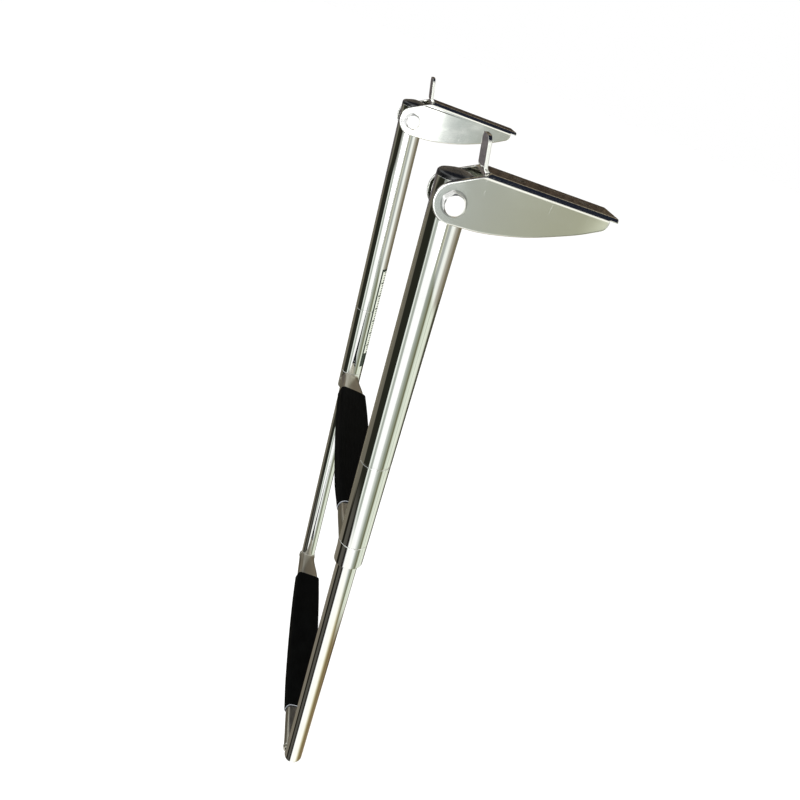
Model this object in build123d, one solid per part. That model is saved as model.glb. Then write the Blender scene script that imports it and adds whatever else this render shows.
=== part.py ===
from build123d import *
import math
import os

# Two-step telescoping boarding ladder with two hinged platform brackets.
# Millimetres, +Z up.  The origin is the centre of the four mounting-screw
# holes, on the flat faces of the two brackets (z = 0 is the face that lies
# against the swim platform).  +X runs along the pivot line, +Y runs inboard,
# towards the bracket tips.  The ladder is drawn open and extended.

# ---------------------------------------------------------------- dimensions
# whole ladder
stile_spacing = 296.0        # centre to centre of the two stiles
half_spacing = stile_spacing / 2
hang_angle = 5.4             # stiles lean inboard of the plate normal, degrees

# upper (outer) tube, 1 inch; heights are along the stile, from the pivot
upper_od = 25.4
upper_wall = 1.2
upper_id = upper_od - 2 * upper_wall
upper_top = 12.0
upper_bottom = -295.5
upper_rim_chamfer = 0.35
groove_z = -210.5            # rolled ring groove
groove_depth = 0.35
groove_width = 1.6

# lower (inner) tube, 3/4 inch
lower_od = 19.05
lower_wall = 1.5
lower_id = lower_od - 2 * lower_wall
lower_top = -270.0
lower_bottom = -619.0

# collar and guide bush at the lower end of the upper tube
collar_height = 24.0
collar_bottom = upper_bottom - collar_height
collar_od = 25.3
collar_chamfer = 0.5
bush_clear = 0.10            # running clearance round the lower tube
bush_id = lower_od + 2 * bush_clear
bush_top = -272.2

# pivot hardware (M8)
bolt_d = 8.0
bolt_hole_clear = 0.3        # on the diameter, in the cheeks
bolt_tip = 2.0               # shank showing beyond the nut
bolt_tip_chamfer = 0.8
hex_af = 13.0                # across flats
hex_turned_d = hex_af * 1.10    # turned blank that bevels the hexagon corners
head_height = 5.3
head_chamfer = 0.9
head_turn = 17               # how far each hexagon is turned, degrees
nut_turn = 4
nut_height = 8.0
nut_chamfer = 0.8
nut_ring_od = 10.4
nut_ring_depth = 1.8
nut_ring_recess = 0.2        # ring face below the nut face
washer_od = 16.0
washer_id = 8.4
washer_t = 1.6
washer_chamfer = 0.3
sleeve_od = 11.0
sleeve_id = 8.2
pbush_od = 14.0
pbush_bore = sleeve_od + 0.16
pbush_barrel = 4.2           # barrel length inside the tube's outer surface
pbush_flange_od = 21.0
pbush_flange_t = 1.1
cheek_play = 0.2             # between the two bush flanges and the cheeks

# bracket (bent from one sheet); y and z are from the pivot
sheet = 2.4
cheek_gap = upper_od + 2 * pbush_flange_t + cheek_play
bracket_w = cheek_gap + 2 * sheet
bend_out = 3.4
bend_in = 1.0
channel_height = 46.0        # blank U section, before its side is trimmed
channel_length = 140.0
channel_mid_y = 40
pivot_drop = 23.2            # pivot below the mounting face
nose_r = 13.3                # round end of the cheeks
nose_rise = 27.1             # slope of the edge from nose to knee, degrees
nose_exit = 4.0              # slope of the belly where it meets the nose
plate_tip = 103.6
lip_start = 98.2             # where the cheeks leave the plate near the tip
tip_point = (98.5, 17.2)     # y, z on the short curve below the plate
tip_corner = (95.6, 13.0)    # y, z where that curve meets the belly
tip_corner_dir = (-0.88, -0.47)
# y, z along the belly, from the tip corner towards the nose
belly_points = [(84.4, 7.1), (72.4, 2.0), (54.3, -4.7), (35.6, -9.6), (20.0, -12.2)]
rim_round = 0.9              # polished outer rim of the cheeks
screw_hole_d = 6.8
screw_ys = (38.0, 84.0)

# tab bent up from the bracket plate
tab_w = 20.0
tab_top = 19.6               # above the mounting face
tab_lean = 13.0              # degrees off the plate normal
tab_bend_in = 3.0
tab_bend_y = 15.9            # bend centre
tab_corner = 5.0
tab_overlap = 3.0            # root run into the plate

# steps (flattened tube) and treads (rubber sleeves)
step_wall = 1.6
upper_step_z = -304.6
lower_step_z = -612.8
step_tilt = 15.5             # tread face turned down inboard, degrees
step_y = 1.5                 # tread centre inboard of the stile axis
step_end_y = -1.0            # and where the step meets the stile
step_mid = (33.0, 12.0)      # width, height at mid-span
step_pad = (28.8, 13.2)      # at the ends of the tread
upper_step_end = (20.5, 18.0)    # where it meets the stile
lower_step_end = (22.0, 14.5)
pad_power = 3.6              # superellipse power under the tread
end_power_drop = 1.2         # how much rounder it is at the stile
flare_end = half_spacing - 8.0   # the end section is reached here
step_trim = 0.5              # end of the step short of the stile axis
tread_half = 101.5           # half length of the rubber sleeve
tread_t = 1.6

# end cap of the upper tube
cap_inset = 0.1              # cap radius under the tube radius
cap_dome = 6.0
cap_lip = 1.2
cap_shoulder = (8.6, 4.6)    # radius, height of a point on the dome
cap_plug_depth = 3.4

# plugs in the lower tube
plug_clear = 0.12
stop_od = upper_id - 2 * plug_clear
stop_flange = 4.0
stop_chamfer = 0.8
stop_skirt = 2.0
stop_pin = 12.0
stop_bore = 8.0
foot_dome = 3.0
foot_pin = 9.0
foot_floor = 1.0             # solid base of the hollow foot pin
plug_wall = 2.0              # wall of the cap plug and of the foot pin

# thin strip wrapped on the left stile
strip_bottom, strip_top = -284.0, -158.0
strip_angles = (32.0, 86.0)  # degrees round the tube from +X towards +Y
strip_t = 0.12

# ---------------------------------------------------------- frames, colours
PIVOT = (0, -sum(screw_ys) / 2, -pivot_drop)
HANG = Location(PIVOT, (hang_angle, 0, 0))   # stile frame
HEAD = Location(PIVOT)                       # bracket frame

STEEL = (0.80, 0.81, 0.80)
NYLON = (0.90, 0.90, 0.86)
BLACK = (0.05, 0.05, 0.05)
NUT_BLUE = (0.25, 0.35, 0.75)
STRIP_GREY = (0.85, 0.86, 0.78)

stiles = (half_spacing, -half_spacing)


# ------------------------------------------------------------------- helpers
def save(name, shape, colour):
    shape.label = name
    shape.color = Color(*colour)
    export_step(shape, "parts/" + name + ".step")


def rod(dia, bottom, top, x=0.0):
    """Vertical round bar between two heights."""
    return Pos(x, 0, (bottom + top) / 2) * Cylinder(dia / 2, top - bottom)


def xrod(dia, start, end):
    """Round bar on the pivot line between two X stations."""
    return Pos((start + end) / 2, 0, 0) * (Rot(0, 90, 0) * Cylinder(dia / 2, end - start))


def pipe(outer, bore, bottom, top, x=0.0):
    return rod(outer, bottom, top, x) - rod(bore, bottom - 1, top + 1, x)


def xpipe(outer, bore, start, end):
    return xrod(outer, start, end) - xrod(bore, start - 1, end + 1)


def circles(shape):
    return shape.edges().filter_by(GeomType.CIRCLE)


def largest(shape):
    return max(shape.solids(), key=lambda solid: solid.volume)


def mix(first, last, part):
    return first + (last - first) * part


# ----------------------------------------------------------------- brackets
def side_outline():
    """Side view of the bracket about the pivot: round nose, straight rise to
    the knee, flat mounting edge, belly curving up to a narrow tip."""
    rise = math.radians(nose_rise)
    nose_top = (-nose_r * math.sin(rise), nose_r * math.cos(rise))
    knee = (nose_top[0] + (pivot_drop - nose_top[1]) / math.tan(rise), pivot_drop)
    low = math.radians(nose_exit)
    nose_low = (nose_r * math.sin(low), -nose_r * math.cos(low))
    plate_under = pivot_drop - sheet
    with BuildSketch(Plane.YZ) as sketch:
        with BuildLine():
            Line(nose_top, knee)
            Line(knee, (plate_tip, pivot_drop))
            Line((plate_tip, pivot_drop), (plate_tip, plate_under))
            Line((plate_tip, plate_under), (lip_start, plate_under))
            Spline((lip_start, plate_under), tip_point, tip_corner,
                   tangents=[(0.35, -1), tip_corner_dir])
            Spline(tip_corner, *belly_points, nose_low,
                   tangents=[tip_corner_dir, (-math.cos(low), -math.sin(low))])
            RadiusArc(nose_low, (-nose_r, 0), nose_r)
            RadiusArc((-nose_r, 0), nose_top, nose_r)
        make_face()
    return sketch.sketch


def channel():
    """Downward-opening U section with rounded bends, running along Y."""
    mid_z = pivot_drop - channel_height / 2

    def block(width, length, z, radius):
        box = Pos(0, channel_mid_y, z) * Box(width, length, channel_height)
        return fillet(box.edges().filter_by(Axis.Y).group_by(Axis.Z)[-1], radius)

    outer = block(bracket_w, channel_length, mid_z, bend_out)
    return outer - block(cheek_gap, channel_length + 10, mid_z - sheet, bend_in)


def tab():
    """Tongue bent up from the plate; butts against the platform edge."""
    upper_r, under_r = tab_bend_in, tab_bend_in + sheet
    bend_y, bend_z = tab_bend_y, pivot_drop + upper_r
    turn = 90.0 - tab_lean
    end = math.radians(270.0 - turn)
    middle = math.radians(270.0 - turn / 2)
    lean = math.radians(tab_lean)
    run = (tab_top - upper_r - upper_r * math.sin(end)) / math.cos(lean)

    def on_bend(radius, angle):
        return (bend_y + radius * math.cos(angle), bend_z + radius * math.sin(angle))

    def run_up(point):
        return (point[0] - math.sin(lean) * run, point[1] + math.cos(lean) * run)

    upper_foot, upper_end = (bend_y, bend_z - upper_r), on_bend(upper_r, end)
    under_foot, under_end = (bend_y, bend_z - under_r), on_bend(under_r, end)
    upper_root = (bend_y + tab_overlap, upper_foot[1])
    under_root = (bend_y + tab_overlap, under_foot[1])
    with BuildSketch(Plane.YZ) as sketch:
        with BuildLine():
            Line(upper_root, upper_foot)
            ThreePointArc(upper_foot, on_bend(upper_r, middle), upper_end)
            Line(upper_end, run_up(upper_end))
            Line(run_up(upper_end), run_up(under_end))
            Line(run_up(under_end), under_end)
            ThreePointArc(under_end, on_bend(under_r, middle), under_foot)
            Line(under_foot, under_root)
            Line(under_root, upper_root)
        make_face()
    tongue = extrude(sketch.sketch, amount=tab_w / 2, both=True)
    # round the two upper corners: short edges at the top, across the sheet
    corners = [edge for edge in tongue.edges()
               if abs(edge.length - sheet) < 0.05 and edge.center().Z > bend_z + 5]
    return fillet(corners, tab_corner)


def bracket(x):
    body = channel() & extrude(side_outline(), amount=40, both=True)
    # outer edges of the cheeks, clear of the plate bends
    rim = [edge for edge in body.edges()
           if abs(abs(edge.center().X) - bracket_w / 2) < 0.01
           and edge.center().Z < pivot_drop - bend_out - 0.3]
    body = fillet(rim, rim_round)
    body += tab()
    for y in screw_ys:
        body -= Pos(0, y, pivot_drop) * Cylinder(screw_hole_d / 2, 12)
    body -= xrod(bolt_d + bolt_hole_clear, -40, 40)
    return HEAD * (Pos(x, 0, 0) * body)


# ------------------------------------------------------------ pivot hardware
def hexagon(start, length, turn):
    """Hexagonal prism running towards +X."""
    profile = RegularPolygon(hex_af / 2, 6, major_radius=False, rotation=turn)
    return Pos(start, 0, 0) * (Rot(0, 90, 0) * extrude(profile, length))


def hex_bolt(x):
    """Chamfered head on the +X cheek, shank towards -X."""
    seat = x + bracket_w / 2
    tip = x - bracket_w / 2 - washer_t - nut_height - bolt_tip
    head = hexagon(seat, head_height, head_turn)
    turned = xrod(hex_turned_d, seat, seat + head_height)
    turned = chamfer(circles(turned).sort_by(Axis.X)[-1], head_chamfer)
    shank = xrod(bolt_d, tip, seat)
    shank = chamfer(circles(shank).sort_by(Axis.X)[0], bolt_tip_chamfer)
    return (head & turned) + shank


def nut_face(x):
    """X of the nut face away from the bracket."""
    return x - bracket_w / 2 - washer_t - nut_height


def nut(x):
    """Hexagon lock nut on the -X side, bored for its nylon ring."""
    face = nut_face(x)
    seat = face + nut_height
    turned = xrod(hex_turned_d, face, seat)
    turned = chamfer(circles(turned), nut_chamfer)
    body = hexagon(face, nut_height, nut_turn) & turned
    body -= xrod(bolt_d, face - 1, seat + 1)
    body -= xrod(nut_ring_od, face - 1, face + nut_ring_depth)
    return body


def nut_ring(x):
    face = nut_face(x)
    return xpipe(nut_ring_od, bolt_d, face + nut_ring_recess, face + nut_ring_depth)


def washer(x):
    seat = x - bracket_w / 2
    ring = xpipe(washer_od, washer_id, seat - washer_t, seat)
    return chamfer(circles(ring).group_by(SortBy.RADIUS)[-1], washer_chamfer)


def sleeve(x):
    return xpipe(sleeve_od, sleeve_id, x - cheek_gap / 2, x + cheek_gap / 2)


def pivot_bush(x, side):
    """Flanged nylon bush: the flange spaces the tube off the cheek, the
    barrel turns on the steel sleeve inside the cross hole of the tube."""
    tube_face = x + side * upper_od / 2
    flange_face = tube_face + side * pbush_flange_t
    barrel_end = tube_face - side * pbush_barrel
    flange = xrod(pbush_flange_od, *sorted((tube_face, flange_face)))
    barrel = xrod(pbush_od, *sorted((barrel_end, tube_face)))
    return flange + barrel - xrod(pbush_bore, x - 40, x + 40)


# ------------------------------------------------------------- upper section
def upper_tube(x):
    tube = rod(upper_od, upper_bottom, upper_top, x)
    tube -= pipe(upper_od + 4, upper_od - 2 * groove_depth,
                 groove_z - groove_width / 2, groove_z + groove_width / 2, x)
    tube -= rod(upper_id, upper_bottom - 1, upper_top + 1, x)
    tube -= xrod(pbush_od, x - 20, x + 20)
    rim = [edge for edge in circles(tube)
           if abs(edge.center().Z - upper_bottom) < 0.01
           and edge.radius > upper_id / 2 + 0.5]
    return HANG * chamfer(rim, upper_rim_chamfer)


def end_cap(x):
    """Black domed plug closing the top of the upper tube."""
    radius = upper_od / 2 - cap_inset
    lip_z = upper_top + cap_lip
    crown = (0, upper_top + cap_dome)
    with BuildSketch(Plane.XZ) as sketch:
        with BuildLine():
            Line((0, upper_top), (radius, upper_top))
            Line((radius, upper_top), (radius, lip_z))
            Spline((radius, lip_z), (cap_shoulder[0], upper_top + cap_shoulder[1]), crown,
                   tangents=[(0, 1), (-1, 0)])
            Line(crown, (0, upper_top))
        make_face()
    dome = revolve(sketch.sketch, Axis.Z)
    plug = pipe(upper_id, upper_id - 2 * plug_wall, upper_top - cap_plug_depth, upper_top)
    return HANG * (Pos(x, 0, 0) * (dome + plug))


def collar(x):
    ring = rod(collar_od, collar_bottom, upper_bottom, x)
    ring = chamfer(circles(ring), collar_chamfer)
    ring -= rod(upper_id, collar_bottom - 1, upper_bottom + 1, x)
    return HANG * ring


def guide_bush(x):
    """Nylon sleeve pressed in the collar and the tube end; the lower tube
    slides in it and the stop plug lands on its upper face."""
    return HANG * pipe(upper_id, bush_id, collar_bottom, bush_top, x)


def info_strip():
    """Thin plain strip wrapped part of the way round the left stile."""
    ring = pipe(upper_od + 2 * strip_t, upper_od, strip_bottom, strip_top)
    first, last = (math.radians(angle) for angle in strip_angles)
    reach = 30.0
    rays = [(reach * math.cos(angle), reach * math.sin(angle))
            for angle in (first, (first + last) / 2, last)]
    with BuildSketch() as sketch:
        with BuildLine():
            Polyline((0, 0), *rays, (0, 0))
        make_face()
    wedge = extrude(sketch.sketch, strip_top - strip_bottom + 10)
    wedge = Pos(0, 0, strip_bottom - 5) * wedge
    return HANG * (Pos(-half_spacing, 0, 0) * (ring & wedge))


# ---------------------------------------------------------- steps and treads
def mirrored(distances):
    """X stations on both sides of the middle, in rising order."""
    return [-x for x in reversed(distances)] + [0] + list(distances)


step_stations = mirrored((35, 70, tread_half, 114, 128, flare_end))
tread_stations = mirrored((28, 56, 84, tread_half))


def oval(x, y, z, width, height, power):
    """Closed superellipse wire in the plane X = x, turned by step_tilt."""
    points = []
    count = 36
    tilt_cos = math.cos(math.radians(-step_tilt))
    tilt_sin = math.sin(math.radians(-step_tilt))
    for i in range(count):
        angle = 2 * math.pi * i / count - math.pi / 2
        cosine, sine = math.cos(angle), math.sin(angle)
        across = width / 2 * math.copysign(abs(cosine) ** (2.0 / power), cosine)
        up = height / 2 * math.copysign(abs(sine) ** (2.0 / power), sine)
        points.append(Vector(x, y + across * tilt_cos - up * tilt_sin,
                             z + across * tilt_sin + up * tilt_cos))
    return Wire([Edge.make_spline(points, periodic=True)])


def step_section(x, end):
    """Centre y, width, height and superellipse power of the step at x."""
    distance = abs(x)
    if distance <= tread_half:
        part = (distance / tread_half) ** 2
        width, height = (mix(mid, pad, part) for mid, pad in zip(step_mid, step_pad))
        return step_y, width, height, pad_power
    part = min(1.0, (distance - tread_half) / (flare_end - tread_half))
    part = part * part * (3 - 2 * part)      # eased at both ends
    width, height = (mix(pad, last, part) for pad, last in zip(step_pad, end))
    return mix(step_y, step_end_y, part), width, height, pad_power - end_power_drop * part


def lofted(stations, end, z, grow):
    """Loft through the step sections, each offset outwards by grow."""
    wires = []
    for x in stations:
        y, width, height, power = step_section(x, end)
        wires.append(oval(x, y, z, width + 2 * grow, height + 2 * grow, power))
    return Solid.make_loft(wires)


def step_loft(end, z, overrun, grow):
    """Full-length loft, run past the stile axes by overrun."""
    reach = half_spacing + overrun
    return lofted([-reach] + step_stations + [reach], end, z, grow)


def step(end, z, stile_od):
    body = step_loft(end, z, 4, 0.0) - step_loft(end, z, 7, -step_wall)
    for x in stiles:                   # coped to the stile
        body -= rod(stile_od, z - 60, z + 60, x)
    body = largest(body)
    body = body & (Pos(0, 0, z) * Box(stile_spacing - 2 * step_trim, 100, 100))
    return HANG * largest(body)


def tread(end, z):
    body = lofted(tread_stations, end, z, tread_t) - step_loft(end, z, 4, 0.0)
    return HANG * largest(body)


# ------------------------------------------------------------- lower section
def lower_tube(x):
    return HANG * pipe(lower_od, lower_id, lower_bottom, lower_top, x)


def stop_plug(x):
    """Nylon plug in the top of the lower tube; its flange glides in the
    upper tube and stops on the guide bush."""
    flange = rod(stop_od, lower_top, lower_top + stop_flange, x)
    flange = chamfer(circles(flange).sort_by(Axis.Z)[-1], stop_chamfer)
    skirt = pipe(stop_od, lower_od, lower_top - stop_skirt, lower_top, x)
    pin = rod(lower_id, lower_top - stop_pin, lower_top, x)
    plug = flange + skirt + pin
    plug -= rod(stop_bore, lower_top - stop_pin - 1, lower_top + stop_flange + 1, x)
    return HANG * plug


def foot_plug(x):
    """Domed plug closing the bottom of the lower tube."""
    radius = lower_od / 2
    tip = (0, lower_bottom - foot_dome)
    with BuildSketch(Plane.XZ) as sketch:
        with BuildLine():
            Line((0, lower_bottom), (radius, lower_bottom))
            Spline((radius, lower_bottom),
                   (radius * 0.78, lower_bottom - foot_dome * 0.72), tip,
                   tangents=[(0, -1), (-1, 0)])
            Line(tip, (0, lower_bottom))
        make_face()
    dome = revolve(sketch.sketch, Axis.Z)
    pin = rod(lower_id, lower_bottom, lower_bottom + foot_pin)
    pin -= rod(lower_id - 2 * plug_wall, lower_bottom + foot_floor,
               lower_bottom + foot_pin + 1)
    return HANG * (Pos(x, 0, 0) * (dome + pin))


# --------------------------------------------------------------------- files
os.makedirs("parts", exist_ok=True)

# one file for each side
sided = [
    ("bracket", bracket, STEEL),
    ("upper_tube", upper_tube, STEEL),
    ("end_cap", end_cap, BLACK),
    ("collar", collar, STEEL),
    ("guide_bush", guide_bush, NYLON),
    ("lower_tube", lower_tube, STEEL),
    ("stop_plug", stop_plug, NYLON),
    ("foot_plug", foot_plug, STEEL),
]
for name, build, colour in sided:
    for side, x in zip(("right", "left"), stiles):
        save(name + "_" + side, build(x), colour)

# both sides together in one file
paired = [
    ("pivot_bolts", hex_bolt, STEEL),
    ("lock_nuts", nut, STEEL),
    ("lock_nut_rings", nut_ring, NUT_BLUE),
    ("nut_washers", washer, STEEL),
    ("pivot_sleeves", sleeve, STEEL),
]
for name, build, colour in paired:
    save(name, Compound(children=[HEAD * build(x) for x in stiles]), colour)
bushes = [HANG * pivot_bush(x, side) for x in stiles for side in (1, -1)]
save("pivot_bushes", Compound(children=bushes), NYLON)

for level, end, z, stile_od in (("upper", upper_step_end, upper_step_z, upper_od),
                                ("lower", lower_step_end, lower_step_z, lower_od)):
    save(level + "_step", step(end, z, stile_od), STEEL)
    save(level + "_tread", tread(end, z), BLACK)

save("info_strip", info_strip(), STRIP_GREY)
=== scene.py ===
"""Two-step ladder: two tube stiles hung from folded sheet brackets.

Row frame: metres, +Z up, X across the steps, stiles at x = -0.148 and +0.148.
Stile frame: millimetres, origin on the pivot axis midway between the stiles. It is the
row frame moved to PIVOT and turned about X by HANG, so the stiles run down its -Z and
lean towards +Y in the row frame.
"""

import math
from collections import namedtuple
from fnmatch import fnmatchcase

import bmesh
import bpy
from mathutils import Matrix, Vector

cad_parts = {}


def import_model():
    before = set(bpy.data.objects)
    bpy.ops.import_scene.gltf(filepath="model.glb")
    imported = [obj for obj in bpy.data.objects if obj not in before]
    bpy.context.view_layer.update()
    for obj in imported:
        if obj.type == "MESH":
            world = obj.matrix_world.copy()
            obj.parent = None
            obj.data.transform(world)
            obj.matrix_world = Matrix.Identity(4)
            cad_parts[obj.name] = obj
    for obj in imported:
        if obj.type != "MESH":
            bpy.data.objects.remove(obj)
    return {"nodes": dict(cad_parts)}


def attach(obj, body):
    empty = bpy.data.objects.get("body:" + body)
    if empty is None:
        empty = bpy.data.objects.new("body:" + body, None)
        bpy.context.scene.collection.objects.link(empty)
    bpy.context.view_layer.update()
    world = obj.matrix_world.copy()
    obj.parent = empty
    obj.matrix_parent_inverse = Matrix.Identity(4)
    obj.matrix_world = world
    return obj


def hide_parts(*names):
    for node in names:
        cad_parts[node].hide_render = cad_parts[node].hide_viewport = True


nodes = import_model()["nodes"]
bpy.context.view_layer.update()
scene = bpy.context.scene

MM = 0.001
HANG = math.radians(5.4)                     # lean of the stiles
STILE_X = 148.0                              # stile axis from the middle, mm
HALF = STILE_X * MM
PIVOT = Vector((0.0, -0.061, -0.0232))
TO_ROW = Matrix.Translation(PIVOT) @ Matrix.Rotation(HANG, 4, "X")
UNHANG = (-HANG, 0, 0)                       # turns texture space to the stiles


# --------------------------------------------------------------- node helpers
class Net:
    """Short calls for wiring a node tree. Any input takes a value or a link."""

    def __init__(self, tree):
        self.tree = tree

    def feed(self, node, inputs):
        for key, value in inputs.items():
            socket = node.inputs[key]
            if isinstance(value, bpy.types.NodeSocket):
                self.tree.links.new(value, socket)
            elif value is not None:
                if socket.type == "RGBA" and len(value) == 3:
                    value = (*value, 1)
                socket.default_value = value

    def node(self, kind, inputs=None, output=0, **settings):
        made = self.tree.nodes.new(kind)
        for name, value in settings.items():
            setattr(made, name, value)
        self.feed(made, inputs or {})
        return made.outputs[output]

    def coords(self, scale=(1, 1, 1), turn=(0, 0, 0)):
        place = self.node("ShaderNodeTexCoord", output="Object")
        return self.node("ShaderNodeMapping",
                         {"Vector": place, "Scale": scale, "Rotation": turn})

    def split(self, vector):
        made = self.tree.nodes.new("ShaderNodeSeparateXYZ")
        self.feed(made, {0: vector})
        return made.outputs[:]

    def noise(self, vector, scale, detail=3.0, rough=0.5):
        return self.node("ShaderNodeTexNoise", {"Vector": vector, "Scale": scale,
                                                "Detail": detail, "Roughness": rough}, "Fac")

    def ramp(self, factor, stops):
        """Colour ramp; stops are (position, colour)."""
        made = self.tree.nodes.new("ShaderNodeValToRGB")
        elements = made.color_ramp.elements
        while len(elements) < len(stops):
            elements.new(1.0)
        for element, (position, colour) in zip(elements, stops):
            element.position = position
            element.color = (*colour, 1)
        self.feed(made, {"Fac": factor})
        return made.outputs["Color"]

    def remap(self, value, low, high, to, kind="LINEAR"):
        return self.node("ShaderNodeMapRange", {
            "Value": value, "From Min": low, "From Max": high,
            "To Min": to[0], "To Max": to[1]}, "Result", interpolation_type=kind)

    def smooth(self, value, start, end):
        """0 at start, 1 at end, eased; start may be above end."""
        return self.remap(value, start, end, to=(0.0, 1.0), kind="SMOOTHSTEP")

    def window(self, value, rise, fall):
        """Rises over one pair of values and falls over the other."""
        return self.mul(self.smooth(value, *rise), self.smooth(value, *fall))

    def calc(self, operation, a, b=None):
        return self.node("ShaderNodeMath", {0: a, 1: b}, operation=operation)

    def add(self, a, b):
        return self.calc("ADD", a, b)

    def sub(self, a, b):
        return self.calc("SUBTRACT", a, b)

    def mul(self, a, b):
        return self.calc("MULTIPLY", a, b)

    def distance(self, a, b):
        return self.calc("SQRT", self.add(self.mul(a, a), self.mul(b, b)))

    def mix(self, factor, a, b, blend="MIX"):
        return self.node("ShaderNodeMix", {0: factor, 6: a, 7: b}, 2,
                         data_type="RGBA", blend_type=blend)

    def bump(self, height, strength, distance, normal=None):
        return self.node("ShaderNodeBump", {"Strength": strength, "Distance": distance,
                                            "Height": height, "Normal": normal})

    def bevel(self, radius):
        return self.node("ShaderNodeBevel", {"Radius": radius}, samples=6)


def new_surface(name):
    """New material, its net and its Principled node."""
    material = bpy.data.materials.new(name)
    material.use_nodes = True
    tree = material.node_tree
    bsdf = next(n for n in tree.nodes if n.type == "BSDF_PRINCIPLED")
    return material, Net(tree), bsdf


def linear(colour):
    """0-255 sRGB to linear."""
    return tuple((c / 255 / 12.92) if c / 255 <= 0.04045 else ((c / 255 + 0.055) / 1.055) ** 2.4
                 for c in colour)


def faded(tint, share):
    return tuple(t * share for t in tint)


# ------------------------------------------------------------------ materials
def polished(name, tint, rough, along=(1, 1, 1), waviness=0.12, smudge=0.5, edge=0.0004):
    """Stainless steel: drawing lines, wheel scratches, finger smudges that
    soften the mirror, and rounded edges. `along` stretches the drawing lines."""
    material, net, bsdf = new_surface(name)
    fine = net.coords(scale=along, turn=UNHANG)
    broad = net.coords(turn=UNHANG)
    lines = net.noise(fine, scale=900.0, detail=4.0, rough=0.6)
    scratch = net.noise(net.coords(scale=(1, 1.7, 0.12), turn=(0.5, 0.3, 0.2)),
                        scale=1400.0, detail=2.0)
    smear = net.noise(broad, scale=38.0, detail=5.0, rough=0.62)
    speck = net.noise(broad, scale=420.0, detail=2.0)
    roughness = net.remap(smear, low=0.42, high=0.72, to=(rough, rough + 0.10 * smudge))
    roughness = net.add(roughness, net.remap(scratch, low=0.60, high=0.80, to=(0.0, 0.05)))
    roughness = net.add(roughness,
                        net.remap(speck, low=0.66, high=0.74, to=(0.0, 0.10 * smudge)))
    colour = net.ramp(smear, stops=[(0.30, tint), (0.75, faded(tint, 0.93))])
    normal = net.bevel(edge) if edge else None
    waves = net.noise(broad, scale=26.0, detail=1.0, rough=0.4)
    normal = net.bump(waves, strength=waviness, distance=0.0004, normal=normal)
    normal = net.bump(lines, strength=0.035, distance=0.00002, normal=normal)
    net.feed(bsdf, {"Roughness": roughness, "Base Color": colour, "Metallic": 1.0,
                    "Normal": normal})
    return material


HOLE_Y = 0.023                               # drilled holes from y = 0, m
HOLE_EDGE = {"start": 0.0038, "end": 0.0035}      # radius where a hole's dull tone sets in
CONTACT_SHADE_EDGE = {"start": 0.0086, "end": 0.0080}     # radius of the painted shade ring round the pivot
FACING = {"start": 0.80, "end": 0.95}             # how squarely a face points along an axis


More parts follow.
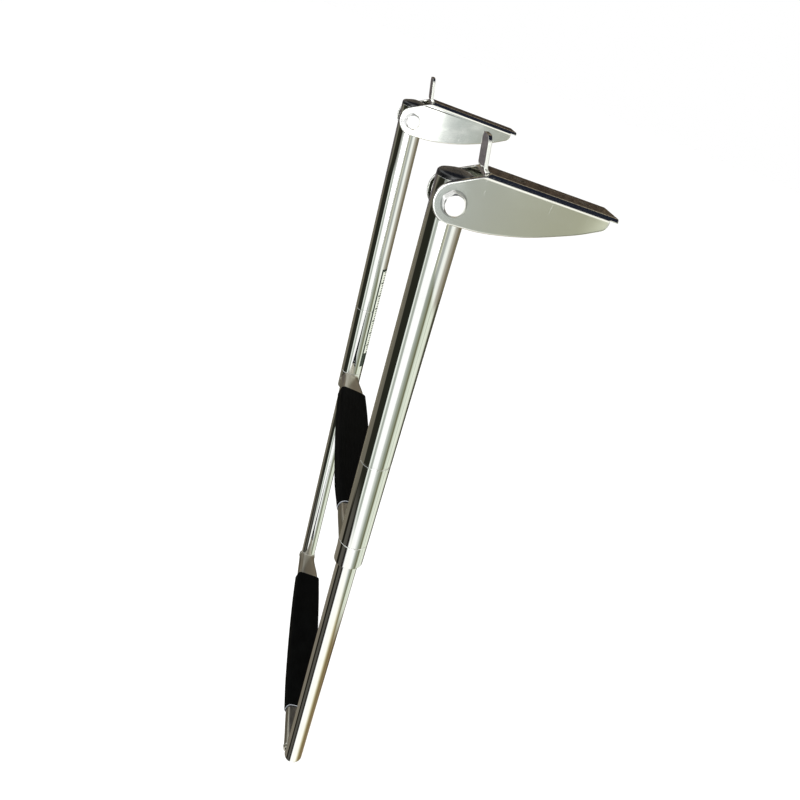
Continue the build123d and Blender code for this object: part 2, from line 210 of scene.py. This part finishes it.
def sheet(name, tint, rough):
    """Polished bracket sheet: the mirror rolls off at the folded edge, the
    cut edges are brushed, the flat that meets the platform has painted
    reflection speckle, and the drilled holes are dull."""
    material, net, bsdf = new_surface(name)
    place = net.coords()
    smear = net.noise(place, scale=30.0, detail=5.0, rough=0.62)
    haze = net.noise(net.coords(scale=(1, 0.5, 1), turn=(0.5, 0, 0)), scale=60.0)
    scratch = net.noise(net.coords(scale=(1, 2.4, 0.10), turn=(0.7, 0.0, 0.0)),
                        scale=620.0, detail=1.0, rough=0.4)
    facing_x, _, facing_z = net.split(
        net.node("ShaderNodeNewGeometry", output="True Normal"))
    x, y, z = net.split(place)
    side = net.smooth(net.calc("ABSOLUTE", facing_x), **FACING)
    up = net.smooth(facing_z, **FACING)

    # soft smears, haze and hairline scratches, then the brushed cut edges
    roughness = net.remap(smear, low=0.42, high=0.74, to=(rough, rough + 0.07))
    roughness = net.add(roughness, net.remap(haze, low=0.56, high=0.72, to=(0.0, 0.06)))
    hair = net.mul(net.smooth(scratch, start=0.73, end=0.79),
                   net.smooth(smear, start=0.40, end=0.60))
    hair_rough, cut_rough, hole_rough = 0.22, 0.40, 0.4
    roughness = net.add(roughness, net.mul(hair, hair_rough))
    cut = net.mul(side, net.smooth(z, start=0.0006, end=0.0018))
    roughness = net.add(roughness, net.mul(cut, cut_rough))
    # distance from the nearest drilled axis
    from_x = net.sub(net.calc("ABSOLUTE", x), HALF)
    from_y = net.sub(net.calc("ABSOLUTE", y), HOLE_Y)
    hole = net.smooth(net.distance(from_x, from_y), **HOLE_EDGE)
    roughness = net.add(roughness, net.mul(hole, hole_rough))

    colour = net.ramp(smear, stops=[(0.30, tint), (0.75, faded(tint, 0.94))])
    # painted reflection speckle on the up-facing flat: dark and over-bright flecks multiplied
    # into the colour stand in for the speckled room it reflects
    speckle_noise = net.noise(net.coords(scale=(0.35, 1, 1)), scale=820.0, detail=2.0, rough=0.6)
    painted_speckle = net.ramp(speckle_noise, stops=[(0.38, (0.66, 0.64, 0.60)), (0.52, (0.96, 0.94, 0.90)),
                                     (0.64, (1.45, 1.40, 1.30))])
    speckle_painted_colour = net.mix(1.0, colour, painted_speckle, blend="MULTIPLY")
    colour = net.mix(up, colour, speckle_painted_colour)
    hole_tone, contact_shade_tone, contact_shade_share = (0.13, 0.11, 0.09), (0.20, 0.20, 0.21), 0.55
    colour = net.mix(hole, colour, hole_tone)
    # faint dark ring of painted shade where the bolt heads and washers sit against the cheek
    from_pivot = net.distance(net.sub(y, PIVOT.y), net.sub(z, PIVOT.z))
    contact_shade = net.mul(net.smooth(from_pivot, **CONTACT_SHADE_EDGE), side)
    colour = net.mix(net.mul(contact_shade, contact_shade_share), colour, contact_shade_tone)

    # roll-off towards the fold, on the faces square to X only
    rise = net.smooth(z, start=-0.0075, end=0.0010)
    roll = net.mul(net.mul(rise, rise), side)
    normal = net.bump(roll, strength=1.0, distance=-0.0011, normal=net.bevel(radius=0.0008))
    waves = net.noise(place, scale=26.0, detail=1.0, rough=0.4)
    normal = net.bump(waves, strength=0.10, distance=0.0004, normal=normal)
    net.feed(bsdf, {"Roughness": roughness, "Base Color": colour, "Metallic": 1.0,
                    "Normal": normal})
    return material


def tread_rubber():
    """Black rubber: fine moulded grain, slightly blotched."""
    material, net, bsdf = new_surface("tread_rubber_grain")
    place = net.coords(turn=UNHANG)
    grain = net.noise(place, scale=2600.0, rough=0.6)
    blotch = net.noise(place, scale=60.0, detail=4.0, rough=0.6)
    net.feed(bsdf, {
        "Base Color": net.ramp(blotch, stops=[(0.3, (0.0008, 0.0010, 0.0010)),
                                              (0.75, (0.0022, 0.0025, 0.0024))]),
        "Roughness": net.remap(grain, low=0.3, high=0.7, to=(0.52, 0.68)),
        "Specular IOR Level": 0.05,
        "Normal": net.bump(grain, strength=0.25, distance=0.00006)})
    return material


def plastic(name, dark, light, rough, spec=0.5, coat=0.0):
    """Lightly blotched and grained plastic with rounded edges."""
    material, net, bsdf = new_surface(name)
    place = net.coords()
    blotch = net.noise(place, scale=90.0, detail=4.0, rough=0.55)
    grain = net.noise(place, scale=1500.0, detail=2.0)
    net.feed(bsdf, {
        "Base Color": net.ramp(blotch, stops=[(0.3, dark), (0.7, light)]),
        "Roughness": net.remap(grain, low=0.3, high=0.7, to=(rough, rough + 0.10)),
        "Specular IOR Level": spec,
        "Coat Weight": coat,
        "Normal": net.bump(grain, strength=0.08, distance=0.00005,
                           normal=net.bevel(radius=0.0003))})
    return material


def strip_vinyl():
    """Pale vinyl strip on the stile at -X: dark green border and end block,
    a row of ticks, slight yellowing."""
    border_angle, border_top, block_top = 41.0, -161.0, -266.0   # degrees, mm, mm
    ticks_end = 72.0                                             # degrees
    short_ticks = {"pitch": 3.2, "share": 0.42, "start": 54.0}   # mm, share inked, degrees
    long_ticks = {"pitch": 16.0, "share": 0.12, "start": 46.0}
    ink, green = linear((52, 60, 50)), linear((14, 34, 22))

    material, net, bsdf = new_surface("strip_vinyl_print")
    place = net.node("ShaderNodeTexCoord", output="Object")
    from_stile = net.node("ShaderNodeVectorMath", {0: place, 1: (-HALF, PIVOT.y, PIVOT.z)},
                          operation="SUBTRACT")
    x, y, z = net.split(net.node("ShaderNodeMapping",
                                 {"Vector": from_stile, "Rotation": UNHANG}))
    angle = net.mul(net.calc("ARCTAN2", y, x), 180 / math.pi)
    height = net.mul(z, 1000.0)              # mm

    def above(value, limit):
        return net.calc("GREATER_THAN", value, limit)

    def below(value, limit):
        return net.calc("LESS_THAN", value, limit)

    def ticks(pitch, share, start):
        inked = below(net.calc("FRACT", net.calc("DIVIDE", height, pitch)), share)
        return net.mul(inked, net.mul(above(angle, start), below(angle, ticks_end)))

    side = below(angle, border_angle)
    top = above(height, border_top)
    block = below(height, block_top)
    border = net.calc("MAXIMUM", net.calc("MAXIMUM", side, top), block)
    marks = net.calc("MAXIMUM", ticks(**short_ticks), ticks(**long_ticks))
    place = net.coords()
    colour = net.ramp(net.noise(place, scale=70.0, detail=4.0),
                      stops=[(0.3, linear((236, 240, 228))), (0.75, linear((214, 220, 200)))])
    colour = net.mix(marks, colour, ink)
    net.feed(bsdf, {
        "Base Color": net.mix(border, colour, green),
        "Roughness": net.remap(net.noise(place, scale=300.0), low=0.3, high=0.7,
                               to=(0.22, 0.34)),
        "Normal": net.bump(net.noise(place, scale=500.0), strength=0.1, distance=0.00005)})
    return material


BRIGHT = (0.86, 0.87, 0.85)
DRAWN_DOWN = (1, 1, 0.02)                    # drawing lines run down the stile
DRAWN_ACROSS = (0.03, 1, 1)                  # drawing lines run along the step

# pale grey plastic on the sleeve end rims is a painted highlight standing in for the lit end
# face
RUBBER_END_HIGHLIGHT = plastic("tread_rubber_end_painted_highlight", dark=(0.30, 0.32, 0.35),
                     light=(0.46, 0.48, 0.51), rough=0.42)
TUBE = polished("polished_tube", tint=BRIGHT, rough=0.028, along=DRAWN_DOWN,
                waviness=0.05, smudge=0.3)
BRACKET = sheet("polished_sheet", tint=(0.84, 0.85, 0.81), rough=0.060)
STEP = polished("satin_step", tint=(0.46, 0.435, 0.37), rough=0.31, along=DRAWN_ACROSS,
                waviness=0.25, smudge=1.0)
FASTENER = polished("satin_fastener", tint=(0.96, 0.96, 0.955), rough=0.34,
                    waviness=0.08, edge=0.0003)
COLLAR = polished("polished_collar", tint=BRIGHT, rough=0.05, along=DRAWN_DOWN,
                  waviness=0.05, edge=0.0011)
WELD = polished("weld_steel", tint=(0.64, 0.62, 0.56), rough=0.28,
                waviness=0.35, smudge=0.6, edge=0)
RUBBER = tread_rubber()
CAP = plastic("cap_black_plastic", dark=(0.0035, 0.0040, 0.0055),
              light=(0.007, 0.0078, 0.0105), rough=0.22, spec=0.6, coat=0.25)
NYLON = plastic("natural_nylon", dark=(0.66, 0.65, 0.60), light=(0.76, 0.75, 0.70), rough=0.36)
RING = plastic("blue_nylon", dark=(0.03, 0.08, 0.34), light=(0.05, 0.11, 0.42), rough=0.38)

# name patterns and their material; the first match counts
FINISHES = [
    (("bracket*",), BRACKET),
    (("pivot_bolts", "lock_nuts", "nut_washers", "pivot_sleeves"), FASTENER),
    (("collar*",), COLLAR),
    (("upper_tube*", "lower_tube*", "foot_plug*"), TUBE),
    (("upper_step", "lower_step"), STEP),
    (("end_cap*",), CAP),
    (("lock_nut_rings",), RING),
    (("*tread",), RUBBER),
    (("*",), NYLON),
]


def set_material(name, material):
    thing = nodes[name]
    if not thing.material_slots:
        thing.data.materials.append(material)
    for slot in thing.material_slots:
        slot.link = "OBJECT"
        slot.material = material


for name in nodes:
    set_material(name, next(material for patterns, material in FINISHES
                            if any(fnmatchcase(name, pattern) for pattern in patterns)))

# ----------------------------------------------------- treads and welds, in mm
# Step section: height on the stile, width and height of the section, radius of
# the stile tube it meets, the body it rides on, and how worn (0 to 1) the
# tread's +X and -X ends are.
Step = namedtuple("Step", "z width height tube_radius body worn")
STEPS = {
    "upper": Step(-304.6, 20.5, 18.0, 12.7, "upper_section", (1.0, 0.25)),
    "lower": Step(-612.8, 22.0, 14.5, 9.525, "lower_section", (0.40, 0.15)),
}
TILT = math.radians(-15.5)                   # of the step section about X
TREAD_Y, WELD_Y = 1.5, -1.0

TREAD_HALF = 101.5                           # half length
TREAD_THICK = 1.6
MID_WIDTH, MID_HEIGHT = 33.0, 12.0           # inside the sleeve at its middle
END_WIDTH, END_HEIGHT = 28.8, 13.2           # and at its ends
# sleeve end: (inset from the end, growth beyond the inside size, rib strength)
TREAD_END = [(0.0, -0.15, 0.0), (0.0, 0.75, 0.0), (0.12, 1.15, 0.0),
             (0.45, 1.45, 0.0), (1.0, TREAD_THICK, 0.15), (2.6, TREAD_THICK, 1.0)]
BODY_HALF, BODY_SPANS = 94.0, 24             # evenly spaced stations between the ends
WORN_FROM = 62.0                             # wear begins this far from the middle
WORN_SHRINK, WORN_ROUND = 0.32, 3.0          # share of growth lost, corner radius gained
CORNER, CORNER_GROWTH = 3.0, 0.45            # corner radius, and its gain with growth
CROWN = 0.30
PAINTED_END_HIGHLIGHT = (0.02, 0.50)                       # inset range of the painted highlight on each sleeve end

RIB = 0.34                                   # groove depth
TOP_PITCH, TOP_FADE, TOP_SPANS = 1.75, 1.0, 132
SIDE_PITCH, SIDE_FADE, SIDE_SPANS, SIDE_SHARE = 2.1, 0.8, 20, 0.8
CORNER_SPANS = 8

BEAD = 0.72                                  # weld bead radius
BEAD_INSET = 0.25
BEAD_STEPS, BEAD_SIDES = 96, 10
SECTION_POWER = 2 / 2.4                      # superellipse exponent of the bead's path
RIPPLES, RIPPLE, WANDER, WANDER_RATE = 16, 0.06, 0.03, 1.7
TUBE_REACH = 0.93                            # share of the tube radius the bead may reach


def piece(name, rings, material, body, looped=False):
    """Skin of equal rings of stile-frame points, capped unless looped."""
    count, size = len(rings), len(rings[0])
    faces = []
    for i in range(count if looped else count - 1):
        this, following = i * size, (i + 1) % count * size
        for j in range(size):
            k = (j + 1) % size
            faces.append((this + j, this + k, following + k, following + j))
    if not looped:
        faces.append(tuple(range(size - 1, -1, -1)))
        faces.append(tuple((count - 1) * size + j for j in range(size)))
    mesh = bpy.data.meshes.new(name)
    mesh.from_pydata([TO_ROW @ (Vector(p) * MM) for ring in rings for p in ring], [], faces)
    mesh.validate()
    bm = bmesh.new()
    bm.from_mesh(mesh)
    bmesh.ops.recalc_face_normals(bm, faces=bm.faces)
    bm.to_mesh(mesh)
    bm.free()
    for polygon in mesh.polygons:
        polygon.use_smooth = True
    mesh.materials.append(material)
    made = bpy.data.objects.new(name, mesh)
    scene.collection.objects.link(made)
    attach(made, body)
    return made


def on_section(x, across, up, z, y):
    """Point on a step section tilted about X, in the stile frame."""
    c, s = math.cos(TILT), math.sin(TILT)
    return (x, y + across * c - up * s, z + across * s + up * c)


def groove(distance, pitch):
    """Groove depth from 0 to 1, deepest halfway between ribs."""
    return (0.5 - 0.5 * math.cos(2 * math.pi * (distance / pitch + 0.5))) ** 3


def corner(across, up, radius, start):
    """Points inside a quarter arc that starts at an angle in degrees."""
    angles = [math.radians(start + 90 * i / CORNER_SPANS) for i in range(1, CORNER_SPANS)]
    return [(across + radius * math.cos(a), up + radius * math.sin(a)) for a in angles]


def rib_outline(width, height, radius, rib, crown):
    """Rounded box grooved on all four sides, as (across, up) pairs
    counter-clockwise from lower left."""
    points = []
    flat = width / 2 - radius
    upright = height / 2 - radius
    for side in (-1, 1):                     # underside then +across, top then -across
        for i in range(TOP_SPANS + 1):
            across = -side * (-flat + 2 * flat * i / TOP_SPANS)
            fade = min(1.0, (flat - abs(across)) / TOP_FADE)
            bulge = crown * (1 - (across / flat) ** 2)
            depth = rib * groove(across, TOP_PITCH) * fade
            points.append((across, side * (height / 2 + bulge - depth)))
        points += corner(-side * flat, side * upright, radius, 90 * side)
        for i in range(SIDE_SPANS + 1):
            up = -side * (-upright + 2 * upright * i / SIDE_SPANS)
            fade = max(0.0, min(1.0, (upright - abs(up)) / SIDE_FADE))
            depth = rib * SIDE_SHARE * groove(up, SIDE_PITCH) * fade
            points.append((-side * (width / 2 - depth), up))
        points += corner(-side * flat, -side * upright, radius, 90 * side + 90)
    return points


def tread_ring(step, x, growth, rib_share):
    """One ring of the sleeve; the inside size tapers from middle to ends."""
    taper = (abs(x) / TREAD_HALF) ** 2
    worn = max(0.0, (abs(x) - WORN_FROM) / (TREAD_HALF - WORN_FROM))
    worn = worn * worn * (3 - 2 * worn) * step.worn[0 if x > 0 else 1]
    growth *= 1 - WORN_SHRINK * worn
    outline = rib_outline(
        width=MID_WIDTH + (END_WIDTH - MID_WIDTH) * taper + 2 * growth,
        height=MID_HEIGHT + (END_HEIGHT - MID_HEIGHT) * taper + 2 * growth,
        radius=CORNER + max(growth, 0) * CORNER_GROWTH + WORN_ROUND * worn,
        rib=RIB * rib_share,
        crown=(CROWN if growth > 0 else 0.0) * (1 - worn))
    return [on_section(x, across, up, step.z, TREAD_Y) for across, up in outline]


def tread_sleeve(which):
    """Ribbed rubber sleeve on a step, with a painted highlight on each end rim."""
    step = STEPS[which]
    ends = [(TREAD_HALF - inset, growth, rib) for inset, growth, rib in TREAD_END]
    stations = [(-x, growth, rib) for x, growth, rib in ends]
    stations += [(-BODY_HALF + 2 * BODY_HALF * i / BODY_SPANS, TREAD_THICK, 1.0)
                 for i in range(BODY_SPANS + 1)]
    stations += reversed(ends)
    rings = [tread_ring(step, *station) for station in stations]
    sleeve = piece(which + "_tread_sleeve", rings, RUBBER, step.body)
    sleeve.data.materials.append(RUBBER_END_HIGHLIGHT)
    to_stile = TO_ROW.inverted()
    # polygons in that inset range take the painted highlight material
    for polygon in sleeve.data.polygons:
        inset = TREAD_HALF - abs((to_stile @ polygon.center).x) / MM
        if PAINTED_END_HIGHLIGHT[0] < inset < PAINTED_END_HIGHLIGHT[1]:
            polygon.material_index = 1
    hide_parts(which + "_tread")


def weld(which, side):
    """Fillet bead where the step is coped on to the stile."""
    step = STEPS[which]
    radius = step.tube_radius
    path = []
    for i in range(BEAD_STEPS):
        angle = 2 * math.pi * i / BEAD_STEPS
        c, s = math.cos(angle), math.sin(angle)
        across = step.width / 2 * math.copysign(abs(c) ** SECTION_POWER, c)
        up = step.height / 2 * math.copysign(abs(s) ** SECTION_POWER, s)
        _, y, z = on_section(0, across, up, step.z, WELD_Y)
        reach = max(-radius * TUBE_REACH, min(radius * TUBE_REACH, y))
        x = STILE_X - math.sqrt(radius * radius - reach * reach) - BEAD_INSET
        path.append(Vector((side * x, y, z)))
    centre = sum(path, Vector()) / BEAD_STEPS
    rings = []
    for i, point in enumerate(path):
        along = (path[(i + 1) % BEAD_STEPS] - path[i - 1]).normalized()
        out = point - centre
        out = (out - along * out.dot(along)).normalized()
        cross = along.cross(out)
        bead = BEAD * (1 + RIPPLE * math.sin(i * 2 * math.pi * RIPPLES / BEAD_STEPS)
                       + WANDER * math.sin(i * WANDER_RATE))
        turns = [2 * math.pi * j / BEAD_SIDES for j in range(BEAD_SIDES)]
        rings.append([point + (out * math.cos(t) + cross * math.sin(t)) * bead for t in turns])
    name = "weld_%s_%s" % (which, "right" if side > 0 else "left")
    piece(name, rings, WELD, step.body, looped=True)


for which in STEPS:
    tread_sleeve(which)
    for side in (1, -1):
        weld(which, side)

set_material("info_strip", strip_vinyl())


# ---------------------------------------------------------------------- floor
def floor_plane(height, half):
    mesh = bpy.data.meshes.new("floor")
    mesh.from_pydata([(-half, -half, height), (half, -half, height),
                      (half, half, height), (-half, half, height)], [], [(0, 1, 2, 3)])
    floor = bpy.data.objects.new("floor", mesh)
    scene.collection.objects.link(floor)
    material, net, bsdf = new_surface("pale_floor")
    net.feed(bsdf, {"Base Color": (0.93, 0.93, 0.925), "Roughness": 0.9,
                    "Specular IOR Level": 0.1,
                    "Emission Color": (1, 1, 0.995), "Emission Strength": 0.10})
    mesh.materials.append(material)
    floor.visible_glossy = False


floor_plane(height=-0.86, half=40.0)

# ---------------------------------------------------------------------- world
# The room seen in reflections, as card colours round the horizon:
# (bearing in degrees from +X towards +Y, sRGB colour), lowest layer first.
FLOOR = [
    (-180, (118, 112, 100)), (-128, (116, 110, 98)), (-123, (30, 29, 22)), (-104, (24, 23, 17)),
    (-98, (84, 82, 76)), (-72, (78, 76, 70)), (-62, (26, 24, 22)), (-52, (26, 24, 22)),
    (-44, (255, 255, 253)), (19, (255, 253, 244)), (31, (222, 216, 190)), (45, (158, 146, 110)),
    (58, (132, 116, 82)), (66, (108, 92, 62)), (72, (134, 118, 84)), (86, (130, 113, 84)),
    (98, (100, 84, 58)), (126, (70, 56, 40)), (160, (80, 70, 54)), (180, (118, 112, 100))]
LOW = [
    (-180, (104, 100, 88)), (-112, (104, 100, 88)), (-107, (38, 38, 31)), (-57, (36, 38, 30)),
    (-53, (232, 238, 230)), (-45, (225, 230, 222)), (-41, (160, 165, 156)),
    (-29, (172, 178, 170)), (-25, (255, 255, 255)), (15, (255, 255, 255)),
    (24, (196, 200, 193)), (33, (150, 156, 145)), (46, (134, 138, 118)), (52, (104, 104, 80)),
    (58, (112, 112, 88)), (64, (204, 210, 194)), (80, (226, 232, 216)), (85, (178, 184, 168)),
    (91, (228, 233, 218)), (112, (216, 220, 204)), (121, (120, 120, 104)), (127, (60, 60, 46)),
    (160, (76, 72, 62)), (180, (104, 100, 88))]
LEVEL = [
    (-180, (52, 44, 38)), (-172, (92, 88, 91)), (-150, (92, 88, 91)), (-140, (60, 54, 50)),
    (-125, (116, 114, 102)), (-112, (112, 110, 98)), (-106, (46, 46, 36)), (-64, (34, 34, 26)),
    (-54, (150, 152, 146)), (-46, (190, 192, 186)), (-28, (252, 253, 250)),
    (5.9, (250, 252, 250)), (6.3, (150, 148, 160)), (7.0, (150, 148, 160)),
    (7.4, (250, 252, 250)), (9.2, (250, 252, 250)), (10.3, (184, 191, 190)),
    (12, (174, 179, 177)), (14, (166, 169, 162)), (20, (166, 167, 151)), (24.2, (158, 158, 137)),
    (25.2, (208, 210, 190)), (28.5, (212, 214, 196)), (30.5, (168, 170, 166)),
    (44, (164, 168, 162)), (52, (236, 239, 235)), (66, (246, 247, 240)), (84, (178, 174, 163)),
    (110, (122, 114, 94)), (146, (96, 89, 72)), (156, (58, 50, 43)), (180, (50, 42, 36))]
BAND = [
    (-180, (118, 110, 98)), (-145, (130, 124, 112)), (-120, (240, 243, 242)),
    (-20, (255, 255, 255)), (35, (252, 250, 240)), (100, (232, 232, 222)),
    (125, (150, 144, 132)), (180, (118, 110, 98))]
CEILING = linear((26, 30, 42))
PALE_PATCH = linear((208, 198, 180))
HOT = (2.6, 2.6, 2.6)                        # the brightest card
LEAN, LEAN_PIVOT, LEAN_FLOOR = 0.85, 30.0, -64.0   # degrees per degree; elevations


def turn_share(bearing):
    """Bearing in degrees as a share of the full turn from -180."""
    return (bearing + 180) / 360


def build_room(net):
    """Colour of the room by direction."""
    place = net.node("ShaderNodeTexCoord", output="Generated")
    x, y, z = net.split(place)
    bearing = net.calc("ARCTAN2", y, x)
    share = net.add(net.calc("DIVIDE", bearing, 2 * math.pi), 0.5)
    elevation = net.mul(net.calc("ARCSINE", z), 180 / math.pi)
    # the low cards lean: their edges slant round the room with depth
    lean = net.mul(net.add(net.calc("MAXIMUM", elevation, LEAN_FLOOR), LEAN_PIVOT), LEAN / 360)
    leaning = net.calc("FRACT", net.add(net.add(share, lean), 1.0))

    def compass(around, stops):
        return net.ramp(around, [(turn_share(b), linear(c)) for b, c in stops])

    floor, low = compass(leaning, FLOOR), compass(leaning, LOW)
    level, band = compass(share, LEVEL), compass(share, BAND)
    pale = net.window(leaning, rise=(turn_share(102), turn_share(110)),
                      fall=(turn_share(150), turn_share(140)))
    pale = net.mul(pale, net.smooth(elevation, start=-49, end=-53))
    colour = net.mix(pale, floor, PALE_PATCH)
    # elevations over which each layer takes over from the one below
    for start, end, layer in ((-46, -42, low), (-17.0, -15.4, level),
                              (10, 13, band), (38, 44, CEILING)):
        colour = net.mix(net.smooth(elevation, start, end), colour, layer)

    # hot card, with a narrow gap down it
    degrees = net.mul(bearing, 180 / math.pi)
    hot = net.window(degrees, rise=(-38, -29), fall=(10.0, 9.0))
    gap = net.window(degrees, rise=(5.9, 6.3), fall=(7.4, 7.0))
    gap = net.mul(gap, net.smooth(elevation, start=-11, end=-9))
    hot = net.mul(hot, net.sub(1.0, gap))
    hot = net.mul(hot, net.window(elevation, rise=(-19, -15), fall=(12, 8)))
    colour = net.mix(hot, colour, HOT)

    # grit on the -X side of the room
    grit = net.ramp(net.noise(place, scale=230.0, rough=0.6),
                    stops=[(0.36, (0.35, 0.35, 0.35)), (0.5, (0.9, 0.9, 0.9)),
                           (0.62, (2.6, 2.5, 2.3))])
    grit_strength = 1.0
    back = net.mul(net.smooth(net.mul(x, -1.0), start=0.55, end=0.8), grit_strength)
    return net.mix(back, colour, net.mix(1.0, colour, grit, blend="MULTIPLY"))


def build_world():
    """The room for reflections, plain white for everything else."""
    world = scene.world or bpy.data.worlds.new("studio")
    scene.world = world
    world.use_nodes = True
    world.node_tree.nodes.clear()
    net = Net(world.node_tree)
    room = net.node("ShaderNodeBackground", {"Color": build_room(net), "Strength": 1.20})
    plain = net.node("ShaderNodeBackground", {"Color": (1, 1, 1), "Strength": 1.0})
    glossy = net.node("ShaderNodeLightPath", output="Is Glossy Ray")
    shader = net.node("ShaderNodeMixShader", {0: glossy, 1: plain, 2: room})
    net.feed(net.tree.nodes.new("ShaderNodeOutputWorld"), {0: shader})


build_world()


# ---------------------------------------------------------- lights and camera
def area(name, place, size, power):
    """Square area light aimed at the ladder, unseen in reflections."""
    target = Vector((0, 0, -0.3))
    light = bpy.data.lights.new(name, "AREA")
    light.shape = "RECTANGLE"
    light.size = light.size_y = size
    light.energy = power
    lamp = bpy.data.objects.new(name, light)
    lamp.location = place
    lamp.rotation_euler = (target - Vector(place)).to_track_quat("-Z", "Y").to_euler()
    lamp.visible_glossy = False
    scene.collection.objects.link(lamp)


area("key", place=(1.6, -1.2, 1.9), size=1.4, power=22.0)
area("fill", place=(1.2, 2.0, 1.0), size=1.6, power=10.0)


def add_camera(place, forward, up, lens):
    camera_data = bpy.data.cameras.new("camera")
    camera_data.lens = lens
    camera_data.sensor_width = 36.0
    camera_data.clip_start = 0.02
    camera = bpy.data.objects.new("camera", camera_data)
    scene.collection.objects.link(camera)
    forward = Vector(forward).normalized()
    right = forward.cross(Vector(up).normalized()).normalized()
    up = right.cross(forward).normalized()
    turn = Matrix((right, up, -forward)).transposed().to_4x4()
    camera.matrix_world = Matrix.Translation(place) @ turn
    scene.camera = camera


add_camera(place=(0.5653, -0.15452, 0.06141), forward=(-0.84728, 0.22934, -0.47909),
           up=(-0.52677, -0.24713, 0.81329), lens=29.718)

scene.view_settings.view_transform = "Standard"
scene.view_settings.look = "None"
scene.view_settings.exposure = 0.0
scene.view_settings.gamma = 1.0
